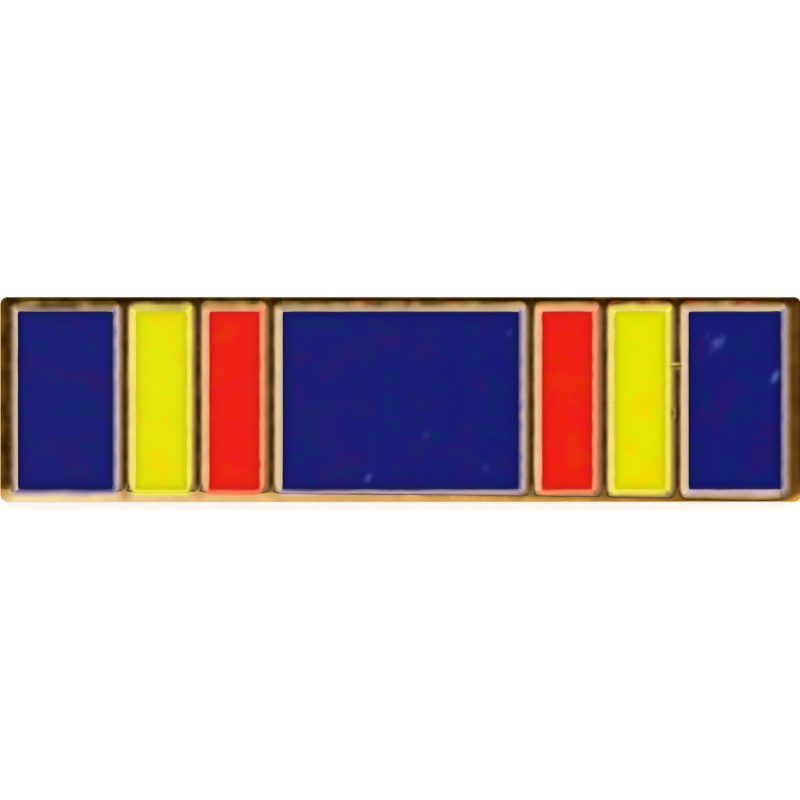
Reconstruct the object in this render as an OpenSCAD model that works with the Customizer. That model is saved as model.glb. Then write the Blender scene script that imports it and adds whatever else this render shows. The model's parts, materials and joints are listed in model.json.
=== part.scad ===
// Enamelled ribbon pin, in millimetres.
// A die-struck bar has a rim and six walls that part its front into seven cells.
// Each cell holds one enamel fill, set lower than the metal, and a plain post is
// soldered to the middle of the back.
// Every piece is drawn with the bar flat, its back on z = 0 and its front up, and is
// then leaned back until the bar's lower edge and the post's tip rest on the table.

/* [Bar] */
// Width of the bar
bar_w = 19; // [18:0.5:22]
// Height of the bar
bar_h = 4.87; // [4:0.01:6]
// Thickness of the bar, up to the top of its walls
bar_t = 1.2; // [1:0.05:1.6]
// Radius of the bar's four corners
corner_r = 0.25; // [0.1:0.05:0.3]
// Flat worn on the bar's outer edges, front and back
edge_flat = 0.07; // [0.04:0.01:0.1]

/* [Rim] */
// Rim at the left end, measured to the enamel
rim_left = 0.43; // [0.4:0.01:0.6]
// Rim at the right end, measured to the enamel
rim_right = 0.5; // [0.4:0.01:0.6]
// Rim along the top, measured to the enamel
rim_top = 0.35; // [0.3:0.01:0.5]
// Rim along the bottom, measured to the enamel
rim_bottom = 0.31; // [0.3:0.01:0.5]

/* [Stripes] */
// Middle stripe, from the centre of one wall to the centre of the next
middle_stripe_w = 6.16; // [5.5:0.02:7]
// Red and yellow stripes, from wall centre to wall centre
narrow_stripe_w = 1.735; // [1.5:0.005:1.9]

/* [Walls and enamel] */
// Flat top of a wall
wall_top_w = 0.2; // [0.15:0.01:0.25]
// Width of the slope from the top of a wall or rim down to the enamel
slope_w = 0.185; // [0.12:0.005:0.2]
// Depth of the enamel's surface below the top of the walls
enamel_drop = 0.14; // [0.08:0.01:0.2]
// Metal left behind the cells
floor_t = 0.65; // [0.5:0.05:0.75]
// Clearance round the sides and back of each fill
fill_gap = 0.02; // [0.02:0.01:0.04]

/* [Post] */
// Length of the post, from the bar's back to its tip
post_l = 8; // [7:0.5:10]
// Radius of the post's shank
post_r = 0.5; // [0.4:0.05:0.6]
// Radius of the pad that is soldered to the bar
pad_r = 1.4; // [1.2:0.1:1.8]
// Thickness of the pad
pad_t = 0.35; // [0.25:0.05:0.5]
// Radius of the solder fillet between the pad and the shank
solder_r = 0.3; // [0.2:0.05:0.4]
// Distance from the bar's back to the groove that a clutch clicks into
groove_at = 5.7; // [5:0.1:5.8]
// Length of the groove
groove_l = 0.5; // [0.4:0.1:0.6]
// Depth of the groove, which is V-shaped
groove_d = 0.15; // [0.1:0.05:0.2]
// Radius of the blunted tip
tip_r = 0.12; // [0.08:0.02:0.2]

/* [Hidden] */

BLUE = "#181D75";
RED = "#EA2114";
YELLOW = "#E4DF04";
GOLD = "#B08D4F";
$fn = 64;

CELLS = 7;
wall_w = wall_top_w + 2 * slope_w;
inner_wall = middle_stripe_w / 2;
WALLS = [-inner_wall - 2 * narrow_stripe_w, -inner_wall - narrow_stripe_w, -inner_wall,
         inner_wall, inner_wall + narrow_stripe_w, inner_wall + 2 * narrow_stripe_w];
enamel_z = bar_t - enamel_drop;
cell_y0 = rim_bottom - bar_h / 2;
cell_y1 = bar_h / 2 - rim_top;
fill_h = enamel_z - floor_t - fill_gap;

// At rest the bar's lower edge and the post's tip are level.
lean = atan((bar_h / 2 - tip_r) / (post_l + edge_flat));
rest_y0 = (edge_flat - bar_h / 2) * sin(lean) - bar_t * cos(lean);
rest_y1 = post_l * cos(lean) + tip_r * sin(lean);
rest_z = bar_h / 2 * cos(lean) - edge_flat * sin(lean);

// Left and right side of a cell at the enamel's level, counted from the left end
function cell_x0(cell) = cell == 0 ? rim_left - bar_w / 2 : WALLS[cell - 1] + wall_w / 2;
function cell_x1(cell) = cell == CELLS - 1 ? bar_w / 2 - rim_right : WALLS[cell] - wall_w / 2;

// Leans a piece back on the lower edge and the tip, centred over the origin
module at_rest() {
    translate([0, -(rest_y0 + rest_y1) / 2, rest_z])
        rotate([90 - lean, 0, 0])
            children();
}

// Section of a cell from side a to side b: upright below the enamel, sloped open above it
module cell_section(a, b) {
    above = 2 * enamel_drop;
    spread = 2 * slope_w;
    polygon([[a, floor_t], [b, floor_t], [b, enamel_z], [b + spread, enamel_z + above],
             [a - spread, enamel_z + above], [a, enamel_z]]);
}

// Hollow of one cell: a trench down the bar crossed with a trench along it
module cell_hollow(cell) {
    intersection() {
        translate([0, bar_h, 0])
            rotate([90, 0, 0])
                linear_extrude(2 * bar_h)
                    cell_section(cell_x0(cell), cell_x1(cell));
        translate([-bar_w, 0, 0])
            rotate([90, 0, 90])
                linear_extrude(2 * bar_w)
                    cell_section(cell_y0, cell_y1);
    }
}

// Section of the bar across a side of the given width, with its edges taken off
module bar_section(side) {
    half = side / 2;
    polygon([[edge_flat - half, 0], [half - edge_flat, 0], [half, edge_flat],
             [half, bar_t - edge_flat], [half - edge_flat, bar_t],
             [edge_flat - half, bar_t], [-half, bar_t - edge_flat], [-half, edge_flat]]);
}

// Outline of the bar with its round corners
module bar_outline() {
    square([bar_w - 2 * corner_r, bar_h], center = true);
    square([bar_w, bar_h - 2 * corner_r], center = true);
    for (x = [-1, 1], y = [-1, 1])
        translate([x * (bar_w / 2 - corner_r), y * (bar_h / 2 - corner_r)])
            circle(corner_r);
}

// The solid bar before its cells are struck
module bar_blank() {
    intersection() {
        linear_extrude(bar_t)
            bar_outline();
        translate([0, bar_h, 0])
            rotate([90, 0, 0])
                linear_extrude(2 * bar_h)
                    bar_section(bar_w);
        translate([-bar_w, 0, 0])
            rotate([90, 0, 90])
                linear_extrude(2 * bar_w)
                    bar_section(bar_h);
    }
}

// Post with its pad, growing upwards from the plane that is soldered to the bar. Its
// point tapers from the end of the groove to the blunted tip.
module post() {
    rotate_extrude()
        polygon([[0, -floor_t / 2], [pad_r, -floor_t / 2], [pad_r, pad_t], [post_r, pad_t],
                 [post_r, groove_at], [post_r - groove_d, groove_at + groove_l / 2],
                 [post_r, groove_at + groove_l], [tip_r, post_l], [0, post_l]]);
    rotate_extrude()
        difference() {
            translate([post_r / 2, pad_t / 2])
                square([post_r / 2 + solder_r, solder_r + pad_t / 2]);
            translate([post_r + solder_r, pad_t + solder_r])
                circle(solder_r);
        }
}

module plate_and_post() {
    color(GOLD)
        at_rest() {
            difference() {
                bar_blank();
                for (cell = [0 : CELLS - 1])
                    cell_hollow(cell);
            }
            mirror([0, 0, 1])
                post();
        }
}

// Enamel fill of one cell, clear of the metal by the fill gap
module fill(cell) {
    at_rest()
        translate([cell_x0(cell) + fill_gap, cell_y0 + fill_gap, floor_t + fill_gap])
            cube([cell_x1(cell) - cell_x0(cell) - 2 * fill_gap,
                  cell_y1 - cell_y0 - 2 * fill_gap, fill_h]);
}

module enamel_blue_left() {
    color(BLUE) fill(0);
}

module enamel_yellow_left() {
    color(YELLOW) fill(1);
}

module enamel_red_left() {
    color(RED) fill(2);
}

module enamel_blue_centre() {
    color(BLUE) fill(3);
}

module enamel_red_right() {
    color(RED) fill(4);
}

module enamel_yellow_right() {
    color(YELLOW) fill(5);
}

module enamel_blue_right() {
    color(BLUE) fill(6);
}

plate_and_post();
enamel_blue_left();
enamel_yellow_left();
enamel_red_left();
enamel_blue_centre();
enamel_red_right();
enamel_yellow_right();
enamel_blue_right();
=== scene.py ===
# %% [markdown]
# Enamelled ribbon pin
#
# The pin is a bar of brass that was struck between two steel dies, so that a rim and
# six thin walls stand up from its front, and was then plated with gold. Coloured
# enamel fills the seven cells between the walls. A pointed post with a pad is soldered
# to the back, for a clutch to grip.
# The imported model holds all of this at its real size. The script gives it its looks,
# and takes every place and size that it can from that model.

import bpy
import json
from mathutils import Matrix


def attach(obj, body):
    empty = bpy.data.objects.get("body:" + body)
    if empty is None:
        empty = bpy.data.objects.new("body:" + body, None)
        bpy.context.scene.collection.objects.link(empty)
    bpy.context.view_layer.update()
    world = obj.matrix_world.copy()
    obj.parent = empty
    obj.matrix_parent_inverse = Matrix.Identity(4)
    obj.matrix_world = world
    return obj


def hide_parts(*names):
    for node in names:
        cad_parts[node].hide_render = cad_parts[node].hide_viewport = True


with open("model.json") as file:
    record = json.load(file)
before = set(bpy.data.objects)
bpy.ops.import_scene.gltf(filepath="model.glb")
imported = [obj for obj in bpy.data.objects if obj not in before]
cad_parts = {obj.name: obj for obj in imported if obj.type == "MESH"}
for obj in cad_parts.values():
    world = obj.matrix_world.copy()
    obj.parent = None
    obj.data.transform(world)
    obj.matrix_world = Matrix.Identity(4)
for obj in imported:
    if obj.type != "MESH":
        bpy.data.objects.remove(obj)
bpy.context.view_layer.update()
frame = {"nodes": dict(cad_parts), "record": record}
MM = 0.001
print("nodes:", ", ".join(sorted(frame["nodes"])))

# %% [markdown]
# The bar's own directions
#
# The pin lies as on a table, leaning back on its lower edge and the tip of its post,
# so its face isn't upright. Sizes would be hard to read on slanted axes. All shapes
# are therefore worked out in millimetres along the bar's own directions, right, up
# and out of the face, and are turned into the model's frame at the very end. The
# mount on the bar's back says where those directions point.

# %% Directions of the bar
import json
import bpy
import numpy as np

back_face = next(mount for mount in frame["record"]["mounts"] if mount["name"] == "back_face")
RIGHT = np.array([1.0, 0.0, 0.0])
OUT = -np.array(back_face["axis"])
UP = np.cross(OUT, RIGHT)
AXES = np.array([RIGHT, UP, OUT])
back_point = np.array(back_face["pos_m"])
BACK_CENTRE = back_point - (back_point @ RIGHT) * RIGHT


def to_frame(points):
    """Bar millimetres to the frame's metres: the back's centre plus each amount times its direction."""
    return BACK_CENTRE + MM * points @ AXES


def to_bar(points):
    """The frame's metres to bar millimetres: the offset from the back's centre along each direction."""
    return (points - BACK_CENTRE) @ AXES.T / MM


LEAN = np.arcsin(OUT[2])
print("the face looks", round(float(np.degrees(LEAN)), 2), "degrees up")

# %% [markdown]
# Sizes from the model
#
# The stripes could be typed in again as numbers, but then the looks and the model
# could drift apart. Each fill's own corners give its cell, and the metal's corners
# give the bar and the post.

# %% Sizes of the bar and its cells
ENAMELS = ["blue_left", "yellow_left", "red_left", "blue_centre",
           "red_right", "yellow_right", "blue_right"]
FILL_GAP = 0.02


def node_extent(node):
    """Lowest and highest right, up and out of a node of the model, in bar millimetres."""
    mesh = frame["nodes"][node].data
    places = np.empty(len(mesh.vertices) * 3, dtype=np.float32)
    mesh.vertices.foreach_get("co", places)
    places = to_bar(places.reshape(-1, 3).astype(float))
    return places.min(axis=0), places.max(axis=0)


metal_low, metal_high = node_extent("plate_and_post")
BAR_HALF = (metal_high - metal_low)[:2] / 2
BAR_TOP, POST_LENGTH = metal_high[2], -metal_low[2]
cell_low, cell_high = map(np.array, zip(*(node_extent("enamel_" + name) for name in ENAMELS)))
ENAMEL_TOP = cell_high[:, 2].mean()
CELL_FLOOR = cell_low[:, 2].mean() - FILL_GAP
cell_low, cell_high = cell_low[:, :2] - FILL_GAP, cell_high[:, :2] + FILL_GAP
WALL_HALF = (cell_low[1:, 0] - cell_high[:-1, 0]).mean() / 2
print("bar:", np.round(2 * BAR_HALF, 3), "mm, its front at", round(BAR_TOP, 3))
print("enamel at", round(ENAMEL_TOP, 3), "and half a wall is", round(WALL_HALF, 3))
print("cell widths:", np.round((cell_high - cell_low)[:, 0], 3))

# %% [markdown]
# The camera
#
# The photograph was taken square on to the face, from far enough away that no side of
# the bar shows. A long lens does the same, and an ordinary one would show the inner
# sides of the rim. The distance follows from how many pixels the bar spans.

# %% Camera
PHOTO_SIDE_PX = 800
# The photograph cuts off the bar's ends by a pixel or more, so its width is extended from the corners
BAR_WIDTH_PX = 802
FACE_CENTRE_PX = np.array([400.6, 399.5])
LENS_MM = 200.0
CLIP_NEAR_M, CLIP_FAR_M = 0.001, 20.0

scene = bpy.context.scene
camera_data = bpy.data.cameras.new("camera")
camera_data.lens = LENS_MM
camera_data.clip_start, camera_data.clip_end = CLIP_NEAR_M, CLIP_FAR_M
camera = bpy.data.objects.new("camera", camera_data)
scene.collection.objects.link(camera)
scene.camera = camera

mm_per_px = 2 * BAR_HALF[0] / BAR_WIDTH_PX
camera_distance = PHOTO_SIDE_PX * mm_per_px * LENS_MM / camera_data.sensor_width
off_centre_px = PHOTO_SIDE_PX / 2 - FACE_CENTRE_PX
aim_right, aim_up = off_centre_px * mm_per_px * [1, -1]
camera.location = to_frame(np.array([aim_right, aim_up, BAR_TOP + camera_distance]))
camera.rotation_euler = (np.pi / 2 - LEAN, 0, 0)
print("camera", round(camera_distance, 1), "mm from the face,", round(mm_per_px, 5), "mm to a pixel")

# %% [markdown]
# Nodes and colours
#
# Materials, the floor and the world are all small graphs of nodes. One function fills
# the inputs of a node that is there, one adds a node of any kind, and another turns a
# colour as a screen shows it into the linear light that the renderer counts in.

# %% Helpers for nodes and colours
SRGB_KNEE = 0.04045
WHITE = "#FFFFFF"
# The mix node has sockets for numbers, vectors and colours, and these are the ones for colours
MIX_SHARE, MIX_FROM, MIX_TO, MIX_RESULT = 0, 6, 7, 2


def set_inputs(tree, node, inputs):
    """Gives each named or numbered input of a node a value, or a link from another node."""
    for name, value in inputs.items():
        if isinstance(value, bpy.types.NodeSocket):
            tree.links.new(value, node.inputs[name])
        else:
            node.inputs[name].default_value = value


def add_node(tree, kind, inputs, **settings):
    """Adds a node, sets its properties and fills its inputs."""
    node = tree.nodes.new("ShaderNode" + kind)
    for name, value in settings.items():
        setattr(node, name, value)
    set_inputs(tree, node, inputs)
    return node


def linear(hex_colour):
    """sRGB hex to linear: c / 12.92 up to the knee, and ((c + 0.055) / 1.055) to the power 2.4 above."""
    srgb = np.array([int(hex_colour[i:i + 2], 16) for i in (1, 3, 5)]) / 255
    light = np.where(srgb <= SRGB_KNEE, srgb / 12.92, ((srgb + 0.055) / 1.055) ** 2.4)
    return (*light.tolist(), 1.0)


print("mid grey in linear light:", round(linear("#808080")[0], 4))

# %% [markdown]
# The floor
#
# The photograph has a pure white ground with no shadow on it. A studio gets that from
# a table of opal acrylic with lamps under it. The floor glows in the same way and takes
# only a little light from above, so shadows on it stay faint. A plain white floor would
# put a brown strip of shadow under the bar's lower edge.

# %% Floor of opal acrylic
FLOOR_HALF_M = 3.0
ACRYLIC = "#7F7F7E"
ACRYLIC_GLOW = 0.84

floor_mesh = bpy.data.meshes.new("opal_floor")
floor_corners = FLOOR_HALF_M * np.array([[-1, -1, 0], [1, -1, 0], [1, 1, 0], [-1, 1, 0]])
floor_mesh.from_pydata(floor_corners.tolist(), [], [(0, 1, 2, 3)])
floor = bpy.data.objects.new("opal_floor", floor_mesh)
scene.collection.objects.link(floor)

acrylic = bpy.data.materials.new("opal_acrylic")
acrylic.use_nodes = True
set_inputs(acrylic.node_tree, acrylic.node_tree.nodes["Principled BSDF"],
           {"Base Color": linear(ACRYLIC), "Roughness": 1.0, "Specular IOR Level": 0.0,
            "Emission Color": linear(WHITE), "Emission Strength": ACRYLIC_GLOW})
floor_mesh.materials.append(acrylic)
print("floor", 2 * FLOOR_HALF_M, "m across")

# %% [markdown]
# The key light
#
# One wide soft light stands in front and above, so the faint shadow falls behind the
# bar. It is kept out of what the surfaces mirror, as a polarising filter would do,
# because the enamel in the photograph shows no bright patch.

# %% Key light
KEY_STRENGTH = 2.9
KEY_SPREAD = np.radians(50)
KEY_ELEVATION = np.radians(50)

key_data = bpy.data.lights.new("soft_key", "SUN")
key_data.energy = KEY_STRENGTH
key_data.angle = KEY_SPREAD
key = bpy.data.objects.new("soft_key", key_data)
key.rotation_euler = (np.pi / 2 - KEY_ELEVATION, 0, 0)
key.visible_glossy = False
scene.collection.objects.link(key)
print("key light", round(float(np.degrees(KEY_ELEVATION))), "degrees above the floor")

# %% [markdown]
# The room in the metal
#
# Polished metal shows little colour of its own and mirrors what stands round it. The
# walls of the real bar are rounded on top. Their crests face the camera and are dark
# brown, their right flanks turn bright at once, and their left ones brighten slowly.
# So there is a dark warm card round the camera, a bright panel on the right, a wall on
# the left that fades towards the card, and a ceiling and a table that are brighter at
# the right end. Behind the bar the room is bright all over. An image of a studio would
# do it too, but a few numbers say it more plainly.

# %% Room that the metal mirrors
CARD = "#4C3509"
ROOM = "#FFFCF8"
# Rows of how far a direction points along the bar, from left to right, and its share of room light
LIGHT_ALONG = [(-1.0, 0.85), (-0.93, 1.0), (-0.86, 0.88), (-0.75, 0.56), (-0.6, 0.36), (-0.33, 0.2),
               (-0.05, 0.05), (0.05, 0.0), (0.34, 0.0), (0.5, 0.2), (0.6, 0.5), (0.7, 0.82), (0.78, 1.0),
               (0.9, 1.0), (1.0, 0.85)]
# Rows of how far it points up the bar, from down to up, and its share
LIGHT_UP = [(-1.0, 0.8), (-0.3, 0.8), (-0.035, 0.0), (0.02, 0.0), (0.13, 0.27), (0.3, 0.54), (0.7, 0.72),
            (1.0, 0.72)]
CEILING_FADE = 0.12
CEILING_LEFT_SHARE = 0.3
# How far out of the face a direction points where the bright room behind starts and is full
BEHIND_FROM, BEHIND_TO = 0.1, -0.5

world = bpy.data.worlds.new("studio")
world.use_nodes = True
scene.world = world
tree = world.node_tree
tree.nodes.clear()
direction = add_node(tree, "TexCoord", {}).outputs["Generated"]
toward = [add_node(tree, "VectorMath", {0: direction, 1: axis.tolist()}, operation="DOT_PRODUCT")
          for axis in AXES]
shares = []
# The rows run from -1 to 1, and a ramp from 0 to 1
for amount, rows in zip(toward, (LIGHT_ALONG, LIGHT_UP)):
    place = add_node(tree, "Math", {0: amount.outputs["Value"], 1: 0.5, 2: 0.5}, operation="MULTIPLY_ADD")
    ramp = add_node(tree, "ValToRGB", {0: place.outputs[0]})
    for position, _ in rows[1:-1]:
        ramp.color_ramp.elements.new((position + 1) / 2)
    for stop, (_, share) in zip(ramp.color_ramp.elements, rows):
        stop.color = (share, share, share, 1.0)
    shares.append(ramp.outputs["Color"])
print("room light has", len(LIGHT_ALONG), "steps along the bar and", len(LIGHT_UP), "up it")

# %% Room light as a world
rightward = toward[0].outputs["Value"]
ceiling_side = add_node(tree, "MapRange", {"Value": rightward, "From Min": -CEILING_FADE,
                                           "From Max": CEILING_FADE, "To Min": CEILING_LEFT_SHARE})
ceiling = add_node(tree, "Math", {0: shares[1], 1: ceiling_side.outputs[0]}, operation="MULTIPLY")
room_share = add_node(tree, "Math", {0: shares[0], 1: ceiling.outputs[0]}, operation="ADD")
behind = add_node(tree, "MapRange", {"Value": toward[2].outputs["Value"], "From Min": BEHIND_FROM,
                                     "From Max": BEHIND_TO})
all_round = add_node(tree, "Math", {0: room_share.outputs[0], 1: behind.outputs[0]}, operation="MAXIMUM")
in_camera = add_node(tree, "LightPath", {}).outputs["Is Camera Ray"]
seen = linear(CARD)
for share, light in ((all_round.outputs[0], ROOM), (in_camera, WHITE)):
    seen = add_node(tree, "Mix", {MIX_SHARE: share, MIX_FROM: seen, MIX_TO: linear(light)},
                    data_type="RGBA").outputs[MIX_RESULT]
glow = add_node(tree, "Background", {"Color": seen, "Strength": 1.0})
add_node(tree, "OutputWorld", {"Surface": glow.outputs[0]})

scene.view_settings.view_transform = "Standard"
scene.view_settings.look = "None"
print("world nodes:", len(tree.nodes))

# %% [markdown]
# Surfaces from grids
#
# Every new piece is a closed skin worked out with numpy. Its front is a grid of points,
# loops of points carry the grid's border round the side, and a second grid or a single
# point closes the back. The points are whole arrays, so a shape is one formula and its
# detail is only a matter of how close the grid's lines lie.

# %% Faces between points
def grid_faces(index):
    """Quads of a grid of point numbers, anticlockwise seen from the front."""
    corners = index[:-1, :-1], index[:-1, 1:], index[1:, 1:], index[1:, :-1]
    return np.stack(corners, axis=-1).reshape(-1, 4)


def border(grid):
    """The outer loop of a grid, anticlockwise: bottom row, right column, top row, left column."""
    return np.concatenate([grid[0, :-1], grid[:-1, -1], grid[-1, :0:-1], grid[:0:-1, 0]])


def band_faces(loops):
    """Quads between each closed loop of point numbers and the next one below it."""
    upper, lower = loops[:-1], loops[1:]
    corners = upper, lower, np.roll(lower, -1, axis=1), np.roll(upper, -1, axis=1)
    return np.stack(corners, axis=-1).reshape(-1, 4)


def fan_faces(loop, pole):
    """Triangles from a closed loop of point numbers to one point below it."""
    return np.stack([loop, np.full_like(loop, pole), np.roll(loop, -1)], axis=-1)


print("faces of a grid of 3 by 3 points:", len(grid_faces(np.arange(9).reshape(3, 3))))

# %% From points to a piece
SHARP_ANGLE = np.radians(38)


def open_edges(faces):
    """How many edges aren't met once in each direction, which is none on a closed skin."""
    pairs = [np.stack([f, np.roll(f, -1, axis=1)], axis=-1).reshape(-1, 2) for f in faces]
    pairs = np.concatenate(pairs)
    there = {tuple(pair) for pair in pairs.tolist()}
    return sum((b, a) not in there for a, b in there) + len(pairs) - len(there)


def make_piece(name, points, faces, **attributes):
    """A mesh object from points in bar millimetres, arrays of faces, and numbers or colours on the points."""
    mesh = bpy.data.meshes.new(name)
    corner_counts = np.concatenate([np.full(len(f), f.shape[1]) for f in faces])
    mesh.vertices.add(len(points))
    mesh.vertices.foreach_set("co", to_frame(points).ravel())
    mesh.loops.add(int(corner_counts.sum()))
    mesh.loops.foreach_set("vertex_index", np.concatenate([f.ravel() for f in faces]))
    mesh.polygons.add(len(corner_counts))
    mesh.polygons.foreach_set("loop_start", np.cumsum(corner_counts) - corner_counts)
    mesh.update(calc_edges=True)
    mesh.shade_smooth()
    mesh.set_sharp_from_angle(angle=SHARP_ANGLE)
    for key_name, values in attributes.items():
        kind, field = ("FLOAT", "value") if values.ndim == 1 else ("FLOAT_COLOR", "color")
        mesh.attributes.new(key_name, kind, "POINT").data.foreach_set(field, values.ravel())
    piece = bpy.data.objects.new(name, mesh)
    scene.collection.objects.link(piece)
    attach(piece, "root")
    print(name, "has", len(points), "points,", len(corner_counts), "faces, open edges:", open_edges(faces))
    return piece


# %% [markdown]
# Lines of the grid, corners and waves
#
# Grid lines are set close where the surface bends, on the flanks of each wall and
# along the rounded edges, and far apart where it is flat. The bar's corners are round,
# so the grid's corner squares are bent to quarter discs, which keeps every face a
# quad. Nothing that was struck, plated and polished is quite straight, so smooth
# waves of a given length are added wherever a real surface wanders.

# %% Helpers for shapes
CLOSEST_LINES = 0.004
# An even line gives way to a mark that is nearer than this share of the spacing
CROWDED = 0.25
WAVE_COUNT, WAVE_SPREAD = 9, (0.7, 1.6)
SEED = {"crest": 3, "height": 5, "edge": 7, "side": 11, "back": 13, "solder": 17, "bead": 19, "enamel": 23,
        "tone": 41, "patch": 43}


def blend(start, end, share):
    """Goes from start to end as the share goes from 0 to 1: start * (1 - share) + end * share."""
    return start * (1 - share) + end * share


def lines(low, high, spacing, marks):
    """Grid lines from low to high: even ones at most a spacing apart, plus the marks between them."""
    even = np.linspace(low, high, int(np.ceil((high - low) / spacing)) + 1)
    marks = np.unique(marks[(marks > low) & (marks < high)])
    marks = marks[np.diff(marks, prepend=low) > CLOSEST_LINES]
    apart = np.abs(even[:, None] - marks).min(axis=1) > CROWDED * spacing
    apart[[0, -1]] = True
    return np.unique(np.concatenate([even[apart], marks]))


def corner_centre(place, half, radius):
    """The nearest point of the rectangle that the corner arcs have their centres on."""
    return np.clip(place, radius - half, half - radius)


def round_corners(x, y, half, radius):
    """Bends the corner squares of a grid to quarter discs: u becomes u * sqrt(1 - v * v / 2), v likewise."""
    centre_x, centre_y = corner_centre(x, half[0], radius), corner_centre(y, half[1], radius)
    u, v = (x - centre_x) / radius, (y - centre_y) / radius
    return centre_x + radius * u * np.sqrt(1 - v**2 / 2), centre_y + radius * v * np.sqrt(1 - u**2 / 2)


def outside(x, y, half, radius, power=2):
    """Distance outwards from a rectangle with round corners, less than nothing inside it. A power above 2
    makes the curves round the corners squarer."""
    over_x, over_y = np.abs(x) - half[0] + radius, np.abs(y) - half[1] + radius
    beyond = (np.maximum(over_x, 0)**power + np.maximum(over_y, 0)**power)**(1 / power)
    return beyond + np.minimum(np.maximum(over_x, over_y), 0) - radius


def waves(x, y, length, seed):
    """Smooth random heights of about -1 to 1: plane waves of nearly one length in seeded directions."""
    draw = np.random.default_rng(seed)
    turn, phase = draw.uniform(0, 2 * np.pi, (2, WAVE_COUNT))
    pitch = length * draw.uniform(*WAVE_SPREAD, WAVE_COUNT)
    along = x[..., None] * np.cos(turn) + y[..., None] * np.sin(turn)
    return np.sin(2 * np.pi * along / pitch + phase).sum(axis=-1) / np.sqrt(WAVE_COUNT)


print("waves at three places:", np.round(waves(np.arange(3.0), np.zeros(3), 1.0, SEED["crest"]), 2))

# %% [markdown]
# The struck bar
#
# The camera sees each wall as a dark core between two bright lines. A wall with a flat
# top and bevelled sides would give hard stripes of even width, and real ones fade, so
# the tops are rounded: worn dies and tumbling leave no flat. The rims at the two ends
# are lower than the walls, since their lines are dimmer, and the right one rises again
# to its outer edge. The lower edge is rolled off, most of all at its left, where it
# mirrors the white table. Here the height is a formula of the distance to the nearest
# cell and to the outer edge, so both can wander a little, and nicks are simply dents in
# that height.

# %% Sizes of the relief
# What the photograph shows of the corners, which it cuts through, suits radii of 0.13 to 0.22 mm
CORNER_RADIUS = 0.18
EDGE_ROUND = 0.02
CELL_CORNER_RADIUS, CORNER_POWER = 0.04, 2.6
POCKET_WALL = 0.012
# Height of the end rims beside their cells as a share of a wall's, how far it takes to get there, and how
# much the right one rises again to its outer edge
LEFT_RIM_HEIGHT, RIGHT_RIM_HEIGHT, RIM_BLEND = 0.57, 0.46, 0.45
RIGHT_RIM_RISE = 0.48
# Width of the flank below the cells, which is steep at the left
LOWER_FLANK_LEFT, LOWER_FLANK_RIGHT = 0.07, 0.32
# Along each of the other outer edges the width of its roll and how steep it gets
ROLL_LEFT, ROLL_RIGHT, ROLL_TOP = (0.14, 0.2), (0.07, 0.24), (0.06, 0.25)
# The lower edge's roll starts above the cells' lower edges. Rows of how far along the bar, from 0 to 1, and
# how much steeper it gets there for each mm
LOWER_ROLL_START = 0.15
LOWER_ROLL = [(0.0, 0.95), (0.5, 0.45), (0.72, 0.33), (0.82, 0.25), (0.94, 0.05), (0.97, 0.1), (1.0, 0.55)]
CREST_WANDER, WANDER_MM, WANDER_REACH = 0.006, 0.9, 0.1
TOP_WAVE, TOP_WAVE_MM = 0.0012, 0.5
# Nicks seen in the photograph: right, up, reach to the right and up, and depth in mm
NICKS = {
    "upper_wall": (6.52, 0.79, 0.13, 0.06, 0.015),
    "lower_wall": (6.47, -0.32, 0.04, 0.1, 0.012),
    "bottom_rim": (0.25, -2.42, 0.09, 0.13, 0.014),
}


def to_outline(x, y):
    """Distances to the outline along the bar and across it. Where the corner arc begins, the outline is
    r - sqrt(r * r - over * over) nearer, with over the distance past the arc's start."""
    over = [np.clip(np.abs(place) - half + CORNER_RADIUS, 0, CORNER_RADIUS)
            for place, half in zip((x, y), BAR_HALF)]
    nearer = [CORNER_RADIUS - np.sqrt(CORNER_RADIUS**2 - part**2) for part in over]
    return BAR_HALF[0] - nearer[1] - np.abs(x), BAR_HALF[1] - nearer[0] - np.abs(y)


def to_cells(x, y):
    """Distance out of each cell, one layer for each cell."""
    centres, halves = (cell_low + cell_high) / 2, (cell_high - cell_low) / 2
    return np.stack([outside(x - c[0], y - c[1], h, CELL_CORNER_RADIUS, CORNER_POWER)
                     for c, h in zip(centres, halves)])


def along_share(x):
    """How far along the bar a place lies, from 0 at the left end to 1 at the right end."""
    return (x + BAR_HALF[0]) / (2 * BAR_HALF[0])


def smooth_step(t):
    """Goes from 0 to 1 as t does, and is level at both: 3 t * t - 2 t * t * t."""
    t = np.clip(t, 0, 1)
    return t * t * (3 - 2 * t)


print("nicks:", ", ".join(NICKS))

# %% Relief of the front
CELLS_BOTTOM, CELLS_TOP = cell_low[:, 1].mean(), cell_high[:, 1].mean()


def climb_of(x, y):
    """How far up a flank a point lies, from 0 at the enamel to 1 at the crest: the distance from the cell
    over half a wall, or over what the roll of the outer edge leaves of a rim if that is less."""
    along, across = (np.maximum(part, 0) for part in to_outline(x, y))
    away = to_cells(x, y).min(axis=0)
    beside = across**2 / (along**2 + across**2 + CLOSEST_LINES**2)
    lower_flank = blend(LOWER_FLANK_LEFT, LOWER_FLANK_RIGHT, along_share(x)**2)
    lower_roll = CELLS_BOTTOM + BAR_HALF[1] - lower_flank
    roll_along = np.where(x < 0, ROLL_LEFT[0], ROLL_RIGHT[0])
    roll_across = np.where(y < 0, lower_roll, ROLL_TOP[0])
    room = away + np.minimum(along, across) - blend(roll_across, roll_along, beside)
    return np.clip(away / np.clip(room, LOWER_FLANK_LEFT, WALL_HALF), 0, 1)


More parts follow.
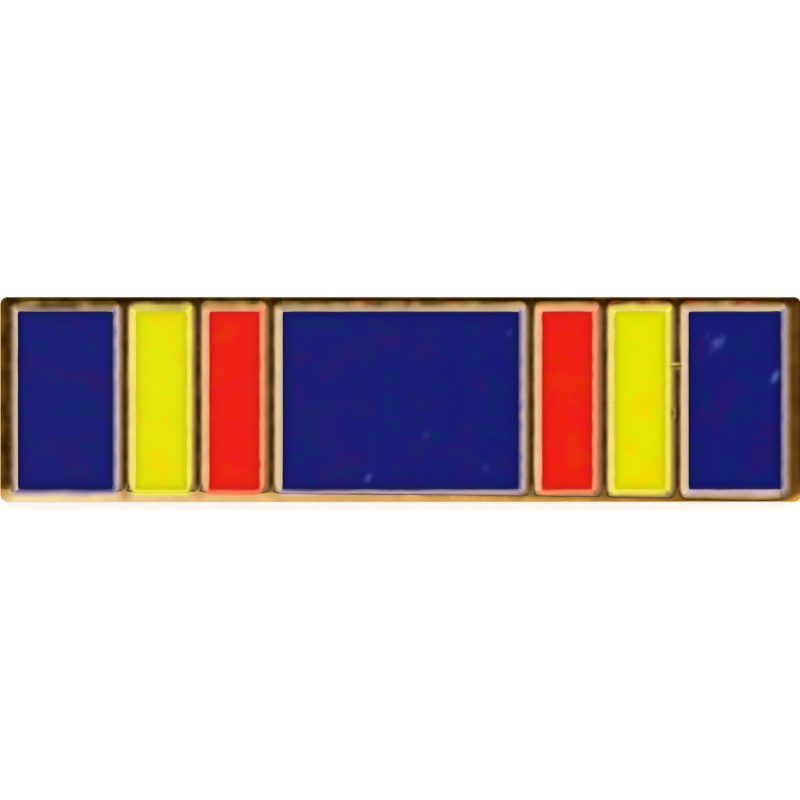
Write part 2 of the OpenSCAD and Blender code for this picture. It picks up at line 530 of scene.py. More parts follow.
def crest_height(x):
    """Height of the crests over the enamel: that of a wall, less towards the ends, and rising on the right
    rim in proportion to the distance past its cell."""
    left = smooth_step((x - cell_low[0, 0]) / RIM_BLEND)
    right = smooth_step((cell_high[-1, 0] - x) / RIM_BLEND)
    share = blend(LEFT_RIM_HEIGHT, 1, left) * blend(RIGHT_RIM_HEIGHT, 1, right)
    past = np.maximum(x - cell_high[-1, 0], 0) / (BAR_HALF[0] - cell_high[-1, 0])
    return (BAR_TOP - ENAMEL_TOP) * (share + RIGHT_RIM_RISE * past)


def rolled_down(x, y):
    """How much the outer edges are rolled down: steepness * width / 2 * (1 - distance / width) squared, and
    for the lower edge its growth in steepness over 2 times the distance below the roll's start squared."""
    along, across = to_outline(x, y)
    total = 0
    for distance, near, (width, steep) in ((along, x < 0, ROLL_LEFT), (along, x >= 0, ROLL_RIGHT),
                                           (across, y >= 0, ROLL_TOP)):
        over = np.clip(1 - distance / width, 0, 1) * near
        total = np.maximum(total, steep * width / 2 * over**2)
    growth = np.interp(along_share(x), *zip(*LOWER_ROLL))
    return total + growth / 2 * np.maximum(CELLS_BOTTOM + LOWER_ROLL_START - y, 0)**2


def relief(x, y):
    """Height of the front: the enamel's level plus the crest's height times 1 - (1 - climb) squared, less
    the roll times the climb's square root and less the nicks. Inside a cell it drops to the floor."""
    away = to_cells(x, y).min(axis=0)
    wander = CREST_WANDER * waves(x, y, WANDER_MM, SEED["crest"]) * np.clip(away / WANDER_REACH, 0, 1)
    climb = np.clip(climb_of(x, y) + wander / WALL_HALF, 0, 1)
    height = ENAMEL_TOP + crest_height(x) * (1 - (1 - climb)**2) - rolled_down(x, y) * np.sqrt(climb)
    height += TOP_WAVE * (waves(x, y, TOP_WAVE_MM, SEED["height"]) - 1) * climb
    for right, up, reach_right, reach_up, depth in NICKS.values():
        height -= depth * np.exp(-((x - right) / reach_right)**2 - ((y - up) / reach_up)**2)
    sunk = np.clip(-away / POCKET_WALL, 0, 1)
    return np.where(away < 0, blend(ENAMEL_TOP, CELL_FLOOR, sunk), height)


crest_and_floor = relief(np.array([cell_low[3, 0] - WALL_HALF, 0.0]), np.zeros(2))
print("heights of a crest and of a cell's floor:", np.round(crest_and_floor, 3))

# %% Front and back of the bar
LINES_ALONG, LINES_ACROSS = 0.25, 0.08
FLANK_STEPS = 13
POCKET_STEPS = np.array([-1, -0.4])
NICK_STEPS = np.linspace(-1.8, 1.8, 9)
BACK_ROUND = 0.05
BACK_DISH, BACK_WAVE, BACK_WAVE_MM = 0.004, 0.5, 2.0
flank_marks = np.append(POCKET_WALL * POCKET_STEPS, WALL_HALF * np.linspace(0, 1, FLANK_STEPS))
edge_marks = np.linspace(0, ROLL_LEFT[0], FLANK_STEPS // 2)[1:]
nick_marks = [[nick[axis] + nick[axis + 2] * NICK_STEPS for nick in NICKS.values()] for axis in (0, 1)]


def bar_lines(axis, half, spacing, more=()):
    """Grid lines over the front: even ones, marks counted out from each cell and in from the edges, and
    more of them where they are given."""
    marks = [cell_low[:, axis, None] - flank_marks, cell_high[:, axis, None] + flank_marks]
    marks += [edge_marks - half, half - edge_marks, *more]
    return lines(-half, half, spacing, np.concatenate([m.ravel() for m in marks]))


front_half, front_radius = BAR_HALF - EDGE_ROUND, CORNER_RADIUS - EDGE_ROUND
square = np.meshgrid(bar_lines(0, front_half[0], LINES_ALONG, nick_marks[0]),
                     bar_lines(1, front_half[1], LINES_ACROSS, nick_marks[1]))
front_x, front_y = round_corners(*square, front_half, front_radius)
front = np.stack([front_x, front_y, relief(front_x, front_y)], axis=-1)
back_x, back_y = (place * (1 - (BACK_ROUND - EDGE_ROUND) / half)
                  for place, half in zip((front_x, front_y), front_half))
edge_fade = np.clip(-outside(front_x, front_y, front_half, front_radius) / CORNER_RADIUS, 0, 1)
back_height = BACK_DISH * edge_fade * (1 + BACK_WAVE * waves(back_x, back_y, BACK_WAVE_MM, SEED["back"]))
back = np.stack([back_x, back_y, back_height], axis=-1)
print("grid of the front:", front_x.shape)

# %% Side of the bar
SIDE_STEPS, TURN_STEPS = 6, 4
DRAFT, SIDE_WAVE, SIDE_WAVE_MM = 0.012, 1 / 3, 0.8


def side_loops(rim):
    """Loops from the front's rim to the back: round a quarter circle, down the cut side, which is drawn in
    by a sine and wavers, and round another quarter circle."""
    centre_x = corner_centre(rim[:, 0], front_half[0], front_radius)
    centre_y = corner_centre(rim[:, 1], front_half[1], front_radius)
    outwards = np.stack([rim[:, 0] - centre_x, rim[:, 1] - centre_y], axis=-1) / front_radius
    turn = np.pi / 2 * np.arange(1, TURN_STEPS + 1)[:, None] / TURN_STEPS
    down = np.arange(1, SIDE_STEPS + 1)[:, None] / SIDE_STEPS
    shoulder = rim[:, 2] - EDGE_ROUND
    waver = 1 + SIDE_WAVE * waves(rim[:, 0] + down, rim[:, 1] + down, SIDE_WAVE_MM, SEED["side"])
    level = 0 * rim[:, 0]
    proud = [EDGE_ROUND * np.sin(turn) + level, EDGE_ROUND - DRAFT * np.sin(np.pi * down) * waver,
             EDGE_ROUND - BACK_ROUND * (1 - np.cos(turn[:-1])) + level]
    height = [shoulder + EDGE_ROUND * np.cos(turn), shoulder + (BACK_ROUND - shoulder) * down,
              BACK_ROUND * (1 - np.sin(turn[:-1])) + level]
    places = rim[:, :2] + np.concatenate(proud)[..., None] * outwards
    return np.concatenate([places, np.concatenate(height)[..., None]], axis=-1)


side = side_loops(border(front))
print("loops on the side:", len(side))

# %% A closed skin
def closed_skin(front, loops, back):
    """Points and faces of a skin: a front's grid, loops of the side, and a back that is a grid or a point."""
    front_index = np.arange(front[..., 0].size).reshape(front.shape[:2])
    loop_index = front_index.size + np.arange(loops[..., 0].size).reshape(loops.shape[:2])
    points = np.concatenate([front.reshape(-1, 3), loops.reshape(-1, 3), back.reshape(-1, 3)])
    rings = [[border(front_index)], loop_index]
    if back.ndim == 1:
        closing = fan_faces(loop_index[-1], len(points) - 1)
    else:
        back_index = front_index + front_index.size + loop_index.size
        rings.append([border(back_index)])
        closing = grid_faces(back_index)[:, ::-1]
    return points, [grid_faces(front_index), band_faces(np.concatenate(rings)), closing]


bar_points, bar_faces = closed_skin(front, side, back)
print("the bar's skin has", len(bar_points), "points")

# %% [markdown]
# Painted sheen and enamel on the metal
#
# The flanks show colour: beside red they are salmon, beside yellow they are lemon, and
# beside blue they turn mauve at the foot. A painted sheen, a highlight tinted by the
# enamel, is laid on the metal as a pale colour. At the foot a film as thick as the
# fill's own colour is partly enamel on the metal and partly a painted reflection of the
# fill. Both reach further out on the right and lower sides of each cell. On the left of
# the red and yellow cells the sheen fades sooner, and below the cells the film thins
# out. The film could be a piece of its own with real thickness, thinner than a hair.
# Numbers on the metal's points are lighter, and the material reads them.

# %% Painted sheen, and film of enamel with a painted reflection
ENAMEL_COLOURS = {"blue": "#0C1366", "yellow": "#C3C202", "red": "#CA180B"}
# Colour of the painted sheen, how far up it is strong, its share on the upper and left sides, and how much
# sooner it fades on the left side
WASH = {"blue": ("#F0DAF4", 2.0, 0.1, 0.0), "yellow": ("#FFF142", 3.6, 0.75, 0.1),
        "red": ("#FF9565", 4.0, 0.65, 0.45)}
WASH_MOST = 0.85
# How much sooner the painted sheen fades below the cells
WASH_BELOW = 0.35
# Reach of the film, which is partly enamel and partly a painted reflection, in mm beside a cell, below it at
# the bar's left and right end, and its share on the upper and left sides
FILM = {"blue": (0.22, 0.28, 0.045, 0.34), "yellow": (0.08, 0.3, 0.14, 0.4), "red": (0.08, 0.27, 0.14, 0.35)}
FILM_MOST = 0.95
# Below a cell it thins to these colours, within a share of its reach that falls from left to right
FILM_THIN = {"blue": "#3A1A5A", "yellow": "#D2C63C", "red": "#E87A46"}
THIN_LEFT, THIN_RIGHT = 0.8, 0.25
CREEP_WANDER, CREEP_WANDER_MM = 0.012, 0.45

bar_x, bar_y, _ = bar_points.T
on_front = np.arange(len(bar_points)) < front_x.size
away_from_cells = to_cells(bar_x, bar_y)
nearest = away_from_cells.argmin(axis=0)
away = np.maximum(away_from_cells.min(axis=0), 0)
climb, bar_along = climb_of(bar_x, bar_y), along_share(bar_x)


def side_share(distance):
    """How much a point lies to one side of its cell, from 0 to 1: that distance over the one to the cell."""
    return np.clip(distance / np.maximum(away, CLOSEST_LINES), 0, 1)


below = side_share(CELLS_BOTTOM - bar_y + CLOSEST_LINES)
left_side = side_share(cell_low[nearest, 0] - bar_x)
# Right and lower sides of a cell, where the painted sheen and the film reach further out
creep_side = np.maximum(below, side_share(bar_x - cell_high[nearest, 0] + CLOSEST_LINES))
colours = [name.split("_")[0] for name in ENAMELS]
wash_reach, wash_elsewhere, wash_sooner = np.array([WASH[colour][1:] for colour in colours])[nearest].T
film_beside, film_left, film_right, film_elsewhere = np.array([FILM[c] for c in colours])[nearest].T
wash = np.array([linear(WASH[colour][0]) for colour in colours])[nearest]
thick, thin = (np.array([linear(hues[colour]) for colour in colours])[nearest]
               for hues in (ENAMEL_COLOURS, FILM_THIN))
out = away + CREEP_WANDER * waves(bar_x, bar_y, CREEP_WANDER_MM, SEED["edge"]) * (away > 0)
faded = np.clip(out * (1 + WASH_BELOW * below + wash_sooner * left_side) / WALL_HALF, 0, 1)
# The painted sheen: a pale highlight tinted by the enamel, strongest beside the cell
wash_share = np.minimum(wash_reach * (1 - faded)**2, WASH_MOST)
wash[:, 3] = wash_share * blend(wash_elsewhere, 1, creep_side) * on_front
# The film: partly enamel on the metal and partly a painted reflection of the fill
film_reach = blend(film_beside, film_left * (film_right / film_left)**bar_along, below)
thin_within = film_reach * blend(THIN_LEFT, THIN_RIGHT, bar_along)
film = blend(thick, thin, (below * np.clip(out / thin_within, 0, 1))[:, None])
film[:, 3] = FILM_MOST * smooth_step(1 - out / film_reach) * blend(film_elsewhere, 1, creep_side) * on_front
print("most wash and film:", round(wash[:, 3].max(), 2), round(film[:, 3].max(), 2))

# %% [markdown]
# Wear, tarnish and painted shade
#
# Crests, sides and back are a deeper gold, which is partly rubbing, and the pale gold
# that the flanks keep is partly a painted highlight. The crests and the upper rim are
# darkened with painted shade, the upper rim most in its left quarter, and the upper rim
# also has a row of small tarnish spots. Both end rims are darker too. Where the metal is
# darkened, it is olive brown in some places and coppery in others, above all at the
# right. The painted sheen keeps some of the darkening off, the lower rim at the left is
# kept pale as a painted highlight, and the back was never polished as the front was, so
# it is satin.

# %% Wear, tarnish and painted shade on the bar
# Rows of how far along the upper rim, from 0 to 1, its painted shade at the foot, and the climb where it is
# full
UPPER_RIM_TARNISH = [(0.0, 0.1, 1.3), (0.02, 0.3, 1.0), (0.045, 0.62, 0.74), (0.22, 0.66, 0.82),
                     (0.28, 0.42, 1.0), (0.6, 0.18, 1.07), (0.74, 0.12, 1.05), (0.8, 0.36, 0.9),
                     (0.9, 0.04, 0.95)]
TARNISH_FROM = 0.1
KEPT_BY_WASH = 0.8
# Darkening of the end rims, painted shade of the crests at either end, and the power of the climb that each
# follows
LEFT_RIM_TARNISH, RIGHT_RIM_TARNISH, RIM_POWER = 0.55, 0.35, 3
CREST_TARNISH_LEFT, CREST_TARNISH_RIGHT, CREST_POWER = 0.55, 0.15, 4
SPOT_TARNISH, SPOT_REACH = 0.2, 0.07
SIDE_SATIN = 0.35
BACK_RUBBED = 0.6
# Power of the climb that the deep gold follows, and how much less it is on the upper rim
RUBBED_POWER, RUBBED_ABOVE = 2.0, 1.2
# Colours of the darkened metal, which carries tarnish and painted shade
TARNISH_OLIVE, TARNISH_COPPER = "#5A480C", "#86401A"
TONE_WAVE, TONE_MM, OLIVE_ABOVE = 0.5, 0.8, 0.35
PATCH_SHARE, PATCH_MM = 0.3, 0.5
# Dark spots of the upper rim, counted along the bar in mm
SPOTS = [-2.1, -1.46, -0.85, -0.51, 0.17, 0.55, 1.24, 1.90, 2.5]

on_side = ~on_front & (np.arange(len(bar_points)) < front_x.size + side[..., 0].size)
satin = np.where(on_front, 0.0, np.where(on_side, SIDE_SATIN, 1.0))
# The lower rim at the left is kept pale: a painted highlight
fresh = below * (1 - bar_along)**2
above = side_share(bar_y - CELLS_TOP)
at_left, at_right = side_share(cell_low[0, 0] - bar_x), side_share(bar_x - cell_high[-1, 0])
# Share of deep gold: partly rubbing, and the pale gold it leaves on the flanks is partly a painted highlight
rubbed = np.where(on_front, climb**(RUBBED_POWER - RUBBED_ABOVE * above) * (1 - fresh), BACK_RUBBED)
row_along, *row_values = zip(*UPPER_RIM_TARNISH)
foot, full_at = (np.interp(bar_along, row_along, values) for values in row_values)
spotted = sum(np.exp(-((bar_x - spot) / SPOT_REACH)**2) for spot in SPOTS) * climb
# Painted shade on the upper rim with its tarnish spots, less where the painted sheen lies
upper = blend(foot, 1, smooth_step((climb - TARNISH_FROM) / (full_at - TARNISH_FROM)))
upper = above * (upper + SPOT_TARNISH * spotted) * (1 - KEPT_BY_WASH * wash[:, 3])
end_rims = climb**RIM_POWER * (LEFT_RIM_TARNISH * at_left * (1 - below) + RIGHT_RIM_TARNISH * at_right)
# Painted shade on the crests, most at the left
crests = blend(CREST_TARNISH_LEFT, CREST_TARNISH_RIGHT, bar_along) * climb**CREST_POWER * (1 - fresh)
share = np.max([upper, end_rims, crests], axis=0)
share *= 1 + PATCH_SHARE * waves(bar_x, bar_y, PATCH_MM, SEED["patch"])
tone = TONE_WAVE * waves(bar_x, bar_y, TONE_MM, SEED["tone"]) - OLIVE_ABOVE * above
tone = smooth_step(bar_along + tone)[:, None]
tarnish = blend(np.array(linear(TARNISH_OLIVE)), np.array(linear(TARNISH_COPPER)), tone)
tarnish[:, 3] = np.clip(share * on_front, 0, 1)
print("most tarnish:", round(tarnish[:, 3].max(), 2))

# %% The bar as a piece
struck_bar = make_piece("struck_bar", bar_points, bar_faces, wash=wash, film=film, rubbed=rubbed,
                        tarnish=tarnish, satin=satin)
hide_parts("plate_and_post")

# %% [markdown]
# Pad, post and solder
#
# The back is hidden in the photograph, so it is made plainly, as such pins are: a
# punched pad, a drawn post whose V-shaped groove a clutch clicks into, and solder
# that has crept up round the foot of both. All are turned shapes, a profile carried
# once round an axis. The solder's radius also wavers round the axis, since nothing
# trued it.

# %% Turned shapes
SIDES, ARC_STEPS = 96, 7
# The wander is read along a circle of this radius, so that it closes on itself
TURN_CIRCLE, TURN_WAVE = 2, 2.2


def turned(profile, seed=None, wander=0.0):
    """Carries a profile of (radius, height) rows round the post's axis. Its first and last rows lie on the
    axis and close it. With a wander, each radius also grows and shrinks smoothly round the axis."""
    radius, height = np.array(profile).T
    angle = np.linspace(0, 2 * np.pi, SIDES, endpoint=False)
    ring_radius = radius[1:-1, None] + 0 * angle
    if wander:
        circle = TURN_CIRCLE * np.array([np.cos(angle), np.sin(angle)])
        ring_radius = ring_radius + wander * waves(*circle, TURN_WAVE, seed)
    ring_height = height[1:-1, None] + 0 * angle
    rings = np.stack([ring_radius * np.cos(angle), ring_radius * np.sin(angle), ring_height], axis=-1)
    poles = np.array([[0, 0, height[0]], [0, 0, height[-1]]])
    index = np.arange(rings[..., 0].size).reshape(rings.shape[:2])
    last = index.size
    faces = [band_faces(index), fan_faces(index[0], last)[:, ::-1], fan_faces(index[-1], last + 1)]
    return np.concatenate([rings.reshape(-1, 3), poles]), faces


def arc(radius, height, size, start, end):
    """Rows of a profile along an arc: its centre, its size, and its first and last angle in degrees."""
    angle = np.radians(np.linspace(start, end, ARC_STEPS))
    return list(zip(radius + size * np.cos(angle), height + size * np.sin(angle)))


print("a full turn has", SIDES, "sides")

# %% Pad
PAD_RADIUS, PAD_THICKNESS, PAD_EDGE = 1.4, 0.35, 0.06
SUNK = 0.02
clutch_post = next(mount for mount in frame["record"]["mounts"] if mount["name"] == "clutch_post")
POST_RADIUS = clutch_post["dims"]["r_mm"]

pad_profile = [(0, SUNK), (PAD_RADIUS, SUNK)]
pad_profile += arc(PAD_RADIUS - PAD_EDGE, PAD_EDGE - PAD_THICKNESS, PAD_EDGE, 0, -90)
pad_profile += [(POST_RADIUS, -PAD_THICKNESS), (0, -PAD_THICKNESS)]
pad = make_piece("post_pad", *turned(pad_profile))

# %% Post
GROOVE_START, GROOVE_LENGTH, GROOVE_DEPTH = 5.7, 0.5, 0.15
# Radius of the tip's round, and its first and last angle in degrees
TIP_RADIUS, TIP_START, TIP_END = 0.12, -15, -80
SHANK_STEPS = 12

groove_middle = GROOVE_START + GROOVE_LENGTH / 2
shank = [(POST_RADIUS, -depth) for depth in np.linspace(PAD_THICKNESS / 2, GROOVE_START, SHANK_STEPS)]
groove = [(POST_RADIUS - GROOVE_DEPTH, -groove_middle), (POST_RADIUS, -GROOVE_START - GROOVE_LENGTH)]
tip = arc(0, TIP_RADIUS - POST_LENGTH, TIP_RADIUS, TIP_START, TIP_END)
post = make_piece("drawn_post", *turned([(0, -PAD_THICKNESS / 2), *shank, *groove, *tip, (0, -POST_LENGTH)]))

# %% Solder
SOLDER_RADIUS, SOLDER_WANDER = 0.3, 0.012
BEAD_WIDTH, BEAD_HEIGHT, BEAD_WANDER = 0.12, 0.1, 0.02

fillet = arc(POST_RADIUS + SOLDER_RADIUS, -PAD_THICKNESS - SOLDER_RADIUS, SOLDER_RADIUS, 90, 180)
fillet_profile = [(0, SUNK - PAD_THICKNESS), (POST_RADIUS + SOLDER_RADIUS, SUNK - PAD_THICKNESS), *fillet]
fillet_profile += [(POST_RADIUS - SUNK, fillet[-1][1] - SUNK), (0, fillet[-1][1] - SUNK)]
fillet_piece = make_piece("solder_at_post", *turned(fillet_profile, SEED["solder"], SOLDER_WANDER))

bead = arc(PAD_RADIUS + BEAD_WIDTH, -BEAD_HEIGHT, BEAD_HEIGHT, 90, 180)
bead_profile = [(0, SUNK), (PAD_RADIUS + BEAD_WIDTH, SUNK), *bead, (PAD_RADIUS - SUNK, -BEAD_HEIGHT - SUNK)]
bead_profile += [(0, -BEAD_HEIGHT - SUNK)]
bead_piece = make_piece("solder_at_pad", *turned(bead_profile, SEED["bead"], BEAD_WANDER))

for piece in (pad, post, fillet_piece, bead_piece):
    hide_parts("plate_and_post")

# %% [markdown]
# The enamel
#
# Each fill was poured into its cell and left lower than the walls. Its skin creeps up
# a little where it wets the metal, and its surface has very shallow waves. Scuffs and
# specks of dust are faint in the photograph but they are what makes it look real, so
# each is a number from 0 to 1 on the points near it, which the material reads.

# %% Marks on the enamel
# Scuffs and specks of the photograph: right, up, half length, half width in mm and strength.
# All of them lie along one direction, from lower left to upper right.
MARK_DIRECTION = np.radians(58)
MARKS = {
    "upper_scuff": (7.5, 1.33, 0.12, 0.1, 0.3),
    "upper_scuff_right": (7.62, 1.4, 0.11, 0.08, 0.16),
    "upper_scuff_left": (7.27, 1.5, 0.07, 0.05, 0.07),
    "upper_scuff_foot": (7.36, 1.13, 0.1, 0.06, 0.05),
    "edge_scuff": (8.89, 0.54, 0.13, 0.07, 0.55),
    "speck_low_left": (-0.77, -1.86, 0.1, 0.065, 0.3),
    "speck_middle": (0.6, -0.84, 0.09, 0.08, 0.08),
    "speck_low_right": (2.02, -1.63, 0.09, 0.08, 0.08),
    "speck_top_right": (2.58, 1.58, 0.1, 0.06, 0.1),
}


def scuffed(x, y):
    """How scuffed a point is: a hill for each mark, longer along the marks' direction than across it."""
    total = np.zeros_like(x)
    along, across = np.cos(MARK_DIRECTION), np.sin(MARK_DIRECTION)
    for right, up, half_length, half_width, strength in MARKS.values():
        u = ((x - right) * along + (y - up) * across) / half_length
        v = ((y - up) * along - (x - right) * across) / half_width
        total += strength * np.exp(-(u**2 + v**2))
    return total


print("marks:", ", ".join(MARKS))

# %% Pouring the fills
OVERLAP = 0.02
ENAMEL_LINES = 0.045
MENISCUS, MENISCUS_REACH = 0.008, 0.04
ENAMEL_WAVE, ENAMEL_WAVE_MM = 0.0012, 1.1
# Reach in mm of the painted shade on each fill along the metal
EDGE_REACH = 0.1
rise_marks = np.array([0.008, 0.02, 0.035, 0.055, 0.08, 0.11, 0.15])


def fill_lines(half):
    """Grid lines across a fill: even ones, and closer ones beside its edges."""
    return lines(-half, half, ENAMEL_LINES, np.concatenate([rise_marks - half, half - rise_marks]))


def pour(name, low, high, seed):
    """One fill. Its height is the enamel's level, plus a rise at the edge that fades with distance, plus
    waves. Its side goes straight down inside the metal and closes on one point."""
    centre, half = (low + high) / 2, (high - low) / 2 + OVERLAP
    square = np.meshgrid(fill_lines(half[0]), fill_lines(half[1]))
    x, y = round_corners(*square, half, CELL_CORNER_RADIUS)
    inset = -outside(x, y, half, CELL_CORNER_RADIUS)
    x, y = x + centre[0], y + centre[1]
    height = ENAMEL_TOP + MENISCUS * np.exp(-inset / MENISCUS_REACH)
    height += ENAMEL_WAVE * waves(x, y, ENAMEL_WAVE_MM, seed)
    top = np.stack([x, y, height], axis=-1)
    rim = border(top)
    inwards = 1 - OVERLAP / half
    lower = np.stack([(rim[:, :2] - centre) * inwards + centre] * 2)
    bottom = CELL_FLOOR + FILL_GAP / 2
    depth = np.array([ENAMEL_TOP - OVERLAP, bottom])[:, None, None] + 0 * lower[..., :1]
    points, faces = closed_skin(top, np.concatenate([lower, depth], axis=-1), np.array([*centre, bottom]))
    inside = -outside(points[:, 0] - centre[0], points[:, 1] - centre[1], half, CELL_CORNER_RADIUS)
    # Painted shade along the metal, fading inwards from the fill's edge
    edge = np.exp(-inside / EDGE_REACH)
    fill = make_piece("fill_" + name, points, faces, edge=edge, scuff=scuffed(points[:, 0], points[:, 1]))
    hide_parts("enamel_" + name)
    return fill


fills = {name: pour(name, low, high, SEED["enamel"] + number)
         for number, (name, low, high) in enumerate(zip(ENAMELS, cell_low, cell_high))}

# %% [markdown]
# Patterns in bar millimetres
#
# Noise and scratches are drawn in the bar's own directions, so that a scratch runs
# along the bar and a speck is as large on the side as on the face. A mapping node
# turns the frame's metres into the same bar millimetres that the shapes were made in.
# Every finish has soft clouds and a relief that is too fine to model, so there is one
# function for each. The detail of a pattern is how many ever finer layers it has. Real
# scratches, hair lines and grain are finer than a pixel, and are drawn as coarse as
# they need to be to show.

# %% Bar coordinates for a material
def new_material(name):
    """An empty node material, its shader, and its place in bar millimetres: object coordinates times 1000,
    turned by the lean and moved."""
    material = bpy.data.materials.new(name)
    material.use_nodes = True
    tree = material.node_tree
    place = add_node(tree, "TexCoord", {}).outputs["Object"]
    mapping = add_node(tree, "Mapping", {"Vector": place, "Location": to_bar(np.zeros(3)).tolist(),
                                         "Rotation": (LEAN - np.pi / 2, 0, 0), "Scale": (1 / MM,) * 3})
    return material, tree, tree.nodes["Principled BSDF"], mapping.outputs[0]


print("the frame's origin in bar mm:", np.round(to_bar(np.zeros(3)), 3))

# %% Clouds and fine relief
CLOUD_FROM, CLOUD_TO = 0.35, 0.65


def soft_clouds(tree, place, size, detail, limits, **settings):
    """Noise of a size in mm. Its middle part is spread to run from 0 to 1, or as the limits say."""
    noise = add_node(tree, "TexNoise", {"Vector": place, "Scale": 1 / size, "Detail": detail})
    inputs = {"Value": noise.outputs["Fac"], "From Min": CLOUD_FROM, "From Max": CLOUD_TO, **limits}
    return add_node(tree, "MapRange", inputs, **settings).outputs[0]


def fine_relief(tree, place, size, depth, detail, **inputs):
    """Normal of a surface that noise of a size in mm raises by up to a depth in mm."""
    noise = add_node(tree, "TexNoise", {"Vector": place, "Scale": 1 / size, "Detail": detail})
    inputs = {"Height": noise.outputs["Fac"], "Distance": depth * MM, **inputs}
    return add_node(tree, "Bump", inputs).outputs[0]


print("noise between", CLOUD_FROM, "and", CLOUD_TO, "is spread to the full range")

# %% [markdown]
# Gilt brass
#
# The bar is brass with a flash of gold, bright from tumbling. To the eye that is a
# mirror that is pale on the flanks, partly because nothing rubs there and partly as a
# painted highlight, and a deeper gold on crests and sides, with faint clouds of tarnish
# and hair-fine scratches. The darkening also carries painted shade on the crests and the
# upper rim. The painted sheen only tints it. Under the thick film, which is partly a
# painted reflection of the fill, it is coloured glass and no longer a mirror.

# %% Colours of the gilt brass
# The pale gold of the flanks is partly a painted highlight
GOLD_PALE, GOLD_DEEP = "#F6DCB0", "#E4AA44"
CLOUD_MM, CLOUD_DETAIL, CLOUD_TARNISH = 0.6, 5.0, 0.06

gilt, tree, shader, place = new_material("struck_gilt_brass")
on_points = {name: add_node(tree, "Attribute", {}, attribute_name=name).outputs
             for name in ("wash", "film", "rubbed", "tarnish", "satin")}
clouds = soft_clouds(tree, place, CLOUD_MM, CLOUD_DETAIL, {}, interpolation_type="SMOOTHSTEP")
# Share of tarnish and painted shade, plus faint clouds of tarnish
dull = add_node(tree, "Math", {0: clouds, 1: CLOUD_TARNISH, 2: on_points["tarnish"]["Alpha"]},
                operation="MULTIPLY_ADD")
# Layers over the pale gold: deep gold, the painted sheen, tarnish and painted shade, and the film with its
# painted reflection
colour = linear(GOLD_PALE)
for share, layer in ((on_points["rubbed"]["Fac"], linear(GOLD_DEEP)),
                     (on_points["wash"]["Alpha"], on_points["wash"]["Color"]),
                     (dull.outputs[0], on_points["tarnish"]["Color"]),
                     (on_points["film"]["Alpha"], on_points["film"]["Color"])):
    colour = add_node(tree, "Mix", {MIX_SHARE: share, MIX_FROM: colour, MIX_TO: layer},
                      data_type="RGBA").outputs[MIX_RESULT]
bare = add_node(tree, "Math", {0: 1.0, 1: on_points["film"]["Alpha"]}, operation="SUBTRACT", use_clamp=True)
set_inputs(tree, shader, {"Base Color": colour, "Metallic": bare.outputs[0]})
print("nodes for the gilt brass's colour:", len(tree.nodes))

# %% Polish of the gilt brass
GOLD_ROUGHNESS, CLOUD_ROUGHNESS, SATIN_ROUGHNESS = 0.1, 0.08, 0.24
# Size and depth in mm and detail of what tumbling left, of the scratches and of the satin's grain
TUMBLED, SCRATCHED, SATIN_GRAIN = (0.11, 0.0012, 3.0), (0.02, 0.0005, 1.0), (0.05, 0.004, 2.0)
SCRATCH_LENGTHS = 12

clouded = add_node(tree, "Math", {0: clouds, 1: CLOUD_ROUGHNESS, 2: GOLD_ROUGHNESS},
                   operation="MULTIPLY_ADD")
rough = add_node(tree, "Math", {0: on_points["satin"]["Fac"], 1: SATIN_ROUGHNESS, 2: clouded.outputs[0]},
                 operation="MULTIPLY_ADD")
drawn_out = add_node(tree, "VectorMath", {0: place, 1: (1 / SCRATCH_LENGTHS, 1, 1)}, operation="MULTIPLY")
normal = fine_relief(tree, place, *TUMBLED)
normal = fine_relief(tree, drawn_out.outputs[0], *SCRATCHED, Normal=normal)
normal = fine_relief(tree, place, *SATIN_GRAIN, Normal=normal, Strength=on_points["satin"]["Fac"])
set_inputs(tree, shader, {"Roughness": rough.outputs[0], "Normal": normal})
struck_bar.data.materials.append(gilt)
print("nodes for the gilt brass:", len(tree.nodes))

# %% [markdown]
# Gilt wire, pad and solder
#
# The post was drawn through a die, which leaves hair lines along it. The pad was
# punched from sheet and is a little rougher. Solder is duller and greyer than both,
# with a lumpy skin. One function makes all three, since they differ only in numbers.

# %% Gilt wire, pad and solder
WIRE_GOLD, WIRE_WORN = "#EBCB8A", "#D0A660"
SOLDER_GOLD, SOLDER_GREY = "#D8B987", "#A89A84"
ROUGHER = 1.6
TONE_DETAIL, TEXTURE_DETAIL = 4.0, 2.0
# Colours, roughness, size and depth of the texture in mm, and how much longer it is along the post
FINISHES = {
    "drawn_gilt_wire": (WIRE_GOLD, WIRE_WORN, 0.18, 0.03, 0.001, 30),
    "punched_gilt_pad": (WIRE_GOLD, WIRE_WORN, 0.24, 0.08, 0.002, 1),
    "gilt_solder": (SOLDER_GOLD, SOLDER_GREY, 0.32, 0.15, 0.006, 1),
}


def plain_gilt(name, bright, worn, roughness, size, depth, length):
    """Plated metal in clouds of two tones, with a texture that is drawn out along the post or not. What the
    texture raises is up to ROUGHER times as rough."""
    material, tree, shader, place = new_material(name)
    tone = soft_clouds(tree, place, CLOUD_MM, TONE_DETAIL, {}, interpolation_type="SMOOTHSTEP")
    colour = add_node(tree, "Mix", {MIX_SHARE: tone, MIX_FROM: linear(bright), MIX_TO: linear(worn)},
                      data_type="RGBA")
    drawn_out = add_node(tree, "VectorMath", {0: place, 1: (1, 1, 1 / length)}, operation="MULTIPLY")
    rough = soft_clouds(tree, drawn_out.outputs[0], size, TEXTURE_DETAIL,
                        {"To Min": roughness, "To Max": roughness * ROUGHER})
    normal = fine_relief(tree, drawn_out.outputs[0], size, depth, TEXTURE_DETAIL)
    set_inputs(tree, shader, {"Base Color": colour.outputs[MIX_RESULT], "Metallic": 1.0,
                              "Roughness": rough, "Normal": normal})
    return material


finishes = {name: plain_gilt(name, *numbers) for name, numbers in FINISHES.items()}
for piece, name in ((post, "drawn_gilt_wire"), (pad, "punched_gilt_pad"), (fillet_piece, "gilt_solder"),
                    (bead_piece, "gilt_solder")):
    piece.data.materials.append(finishes[name])
print("plain gilt finishes:", ", ".join(finishes))
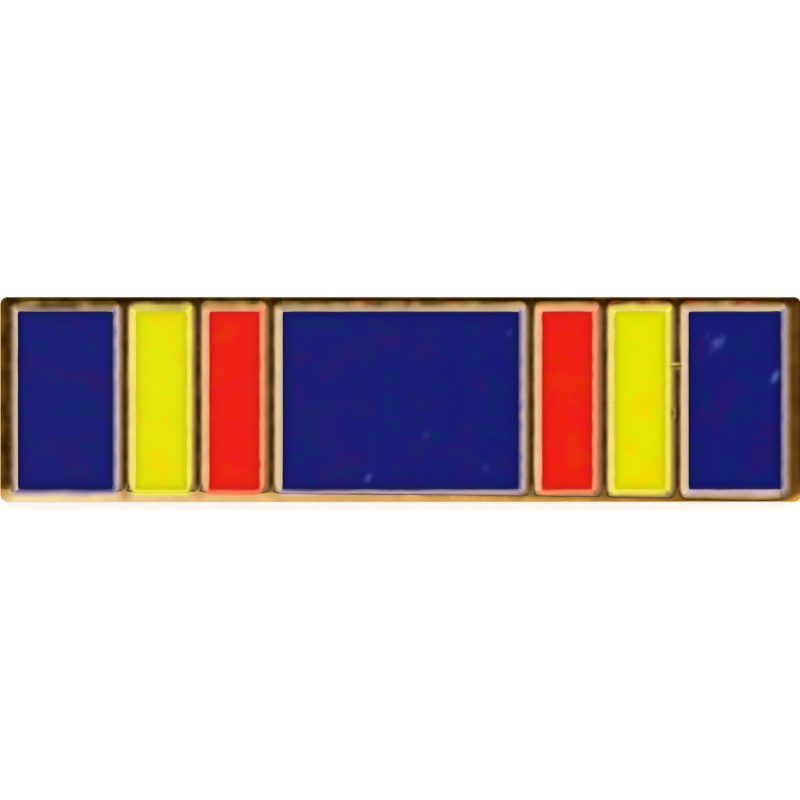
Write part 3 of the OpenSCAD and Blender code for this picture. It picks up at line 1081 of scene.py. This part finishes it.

# %% [markdown]
# Enamel
#
# Opaque enamel, stoned and flash-fired, is glass full of pigment: one strong colour
# under a smooth gloss. The pigment lies in faint clouds that drift to a neighbouring
# hue, the colour is darkened along the metal as painted shade where the fill lies sunk
# between the walls, and scuffs are pale and rough.

# %% Enamel
# Two hues that the main colour drifts to, the deep one that is painted shade along the metal, and that of a
# scuff
ENAMEL_DRIFTS = {
    "blue": ("#200C5E", "#021C5C", "#06062C", "#5C72CC"),
    "yellow": ("#CEB302", "#B6C602", "#AFA602", "#EFEBA0"),
    "red": ("#C42804", "#CA0F1A", "#A2100A", "#F0917E"),
}
ENAMEL_IOR = 1.52
ENAMEL_ROUGHNESS, SCUFF_ROUGHNESS = 0.07, 0.5
# Sizes in mm of the two hues' clouds
PIGMENT_MM, PIGMENT_DETAIL = (0.9, 0.5), 3.0
DRIFT_FROM, DRIFT_SHARE = 0.5, 0.65
GRAIN_MM, GRAIN_DETAIL, GRAIN_LEAST = 0.04, 2.0, 0.6
# Size and depth in mm and detail of the orange peel
ORANGE_PEEL = (0.35, 0.002, 2.0)


def enamel_material(colour):
    """Glossy enamel: two hues in clouds, then the deep one by the edge as painted shade, then pale and rough
    by the scuffs times their grain, all with the shallow bumps of orange peel."""
    material, tree, shader, place = new_material("glossy_enamel_" + colour)
    edge, scuff = (add_node(tree, "Attribute", {}, attribute_name=name).outputs["Fac"]
                   for name in ("edge", "scuff"))
    grains = soft_clouds(tree, place, GRAIN_MM, GRAIN_DETAIL, {"To Min": GRAIN_LEAST})
    scraped = add_node(tree, "Math", {0: scuff, 1: grains}, operation="MULTIPLY").outputs[0]
    limits = {"From Min": DRIFT_FROM, "To Max": DRIFT_SHARE}
    pigments = [soft_clouds(tree, place, size, PIGMENT_DETAIL, limits) for size in PIGMENT_MM]
    body = linear(ENAMEL_COLOURS[colour])
    # The hues in turn: two drifts, the painted shade by the edge, then the scuffs
    for share, hue in zip((*pigments, edge, scraped), ENAMEL_DRIFTS[colour]):
        body = add_node(tree, "Mix", {MIX_SHARE: share, MIX_FROM: body, MIX_TO: linear(hue)},
                        data_type="RGBA").outputs[MIX_RESULT]
    rough = add_node(tree, "MapRange", {"Value": scraped, "To Min": ENAMEL_ROUGHNESS,
                                        "To Max": SCUFF_ROUGHNESS})
    set_inputs(tree, shader, {"Base Color": body, "Roughness": rough.outputs[0], "IOR": ENAMEL_IOR,
                              "Normal": fine_relief(tree, place, *ORANGE_PEEL)})
    return material


enamels = {colour: enamel_material(colour) for colour in ENAMEL_COLOURS}
for name, fill in fills.items():
    fill.data.materials.append(enamels[name.split("_")[0]])
print("enamels:", ", ".join(enamels))
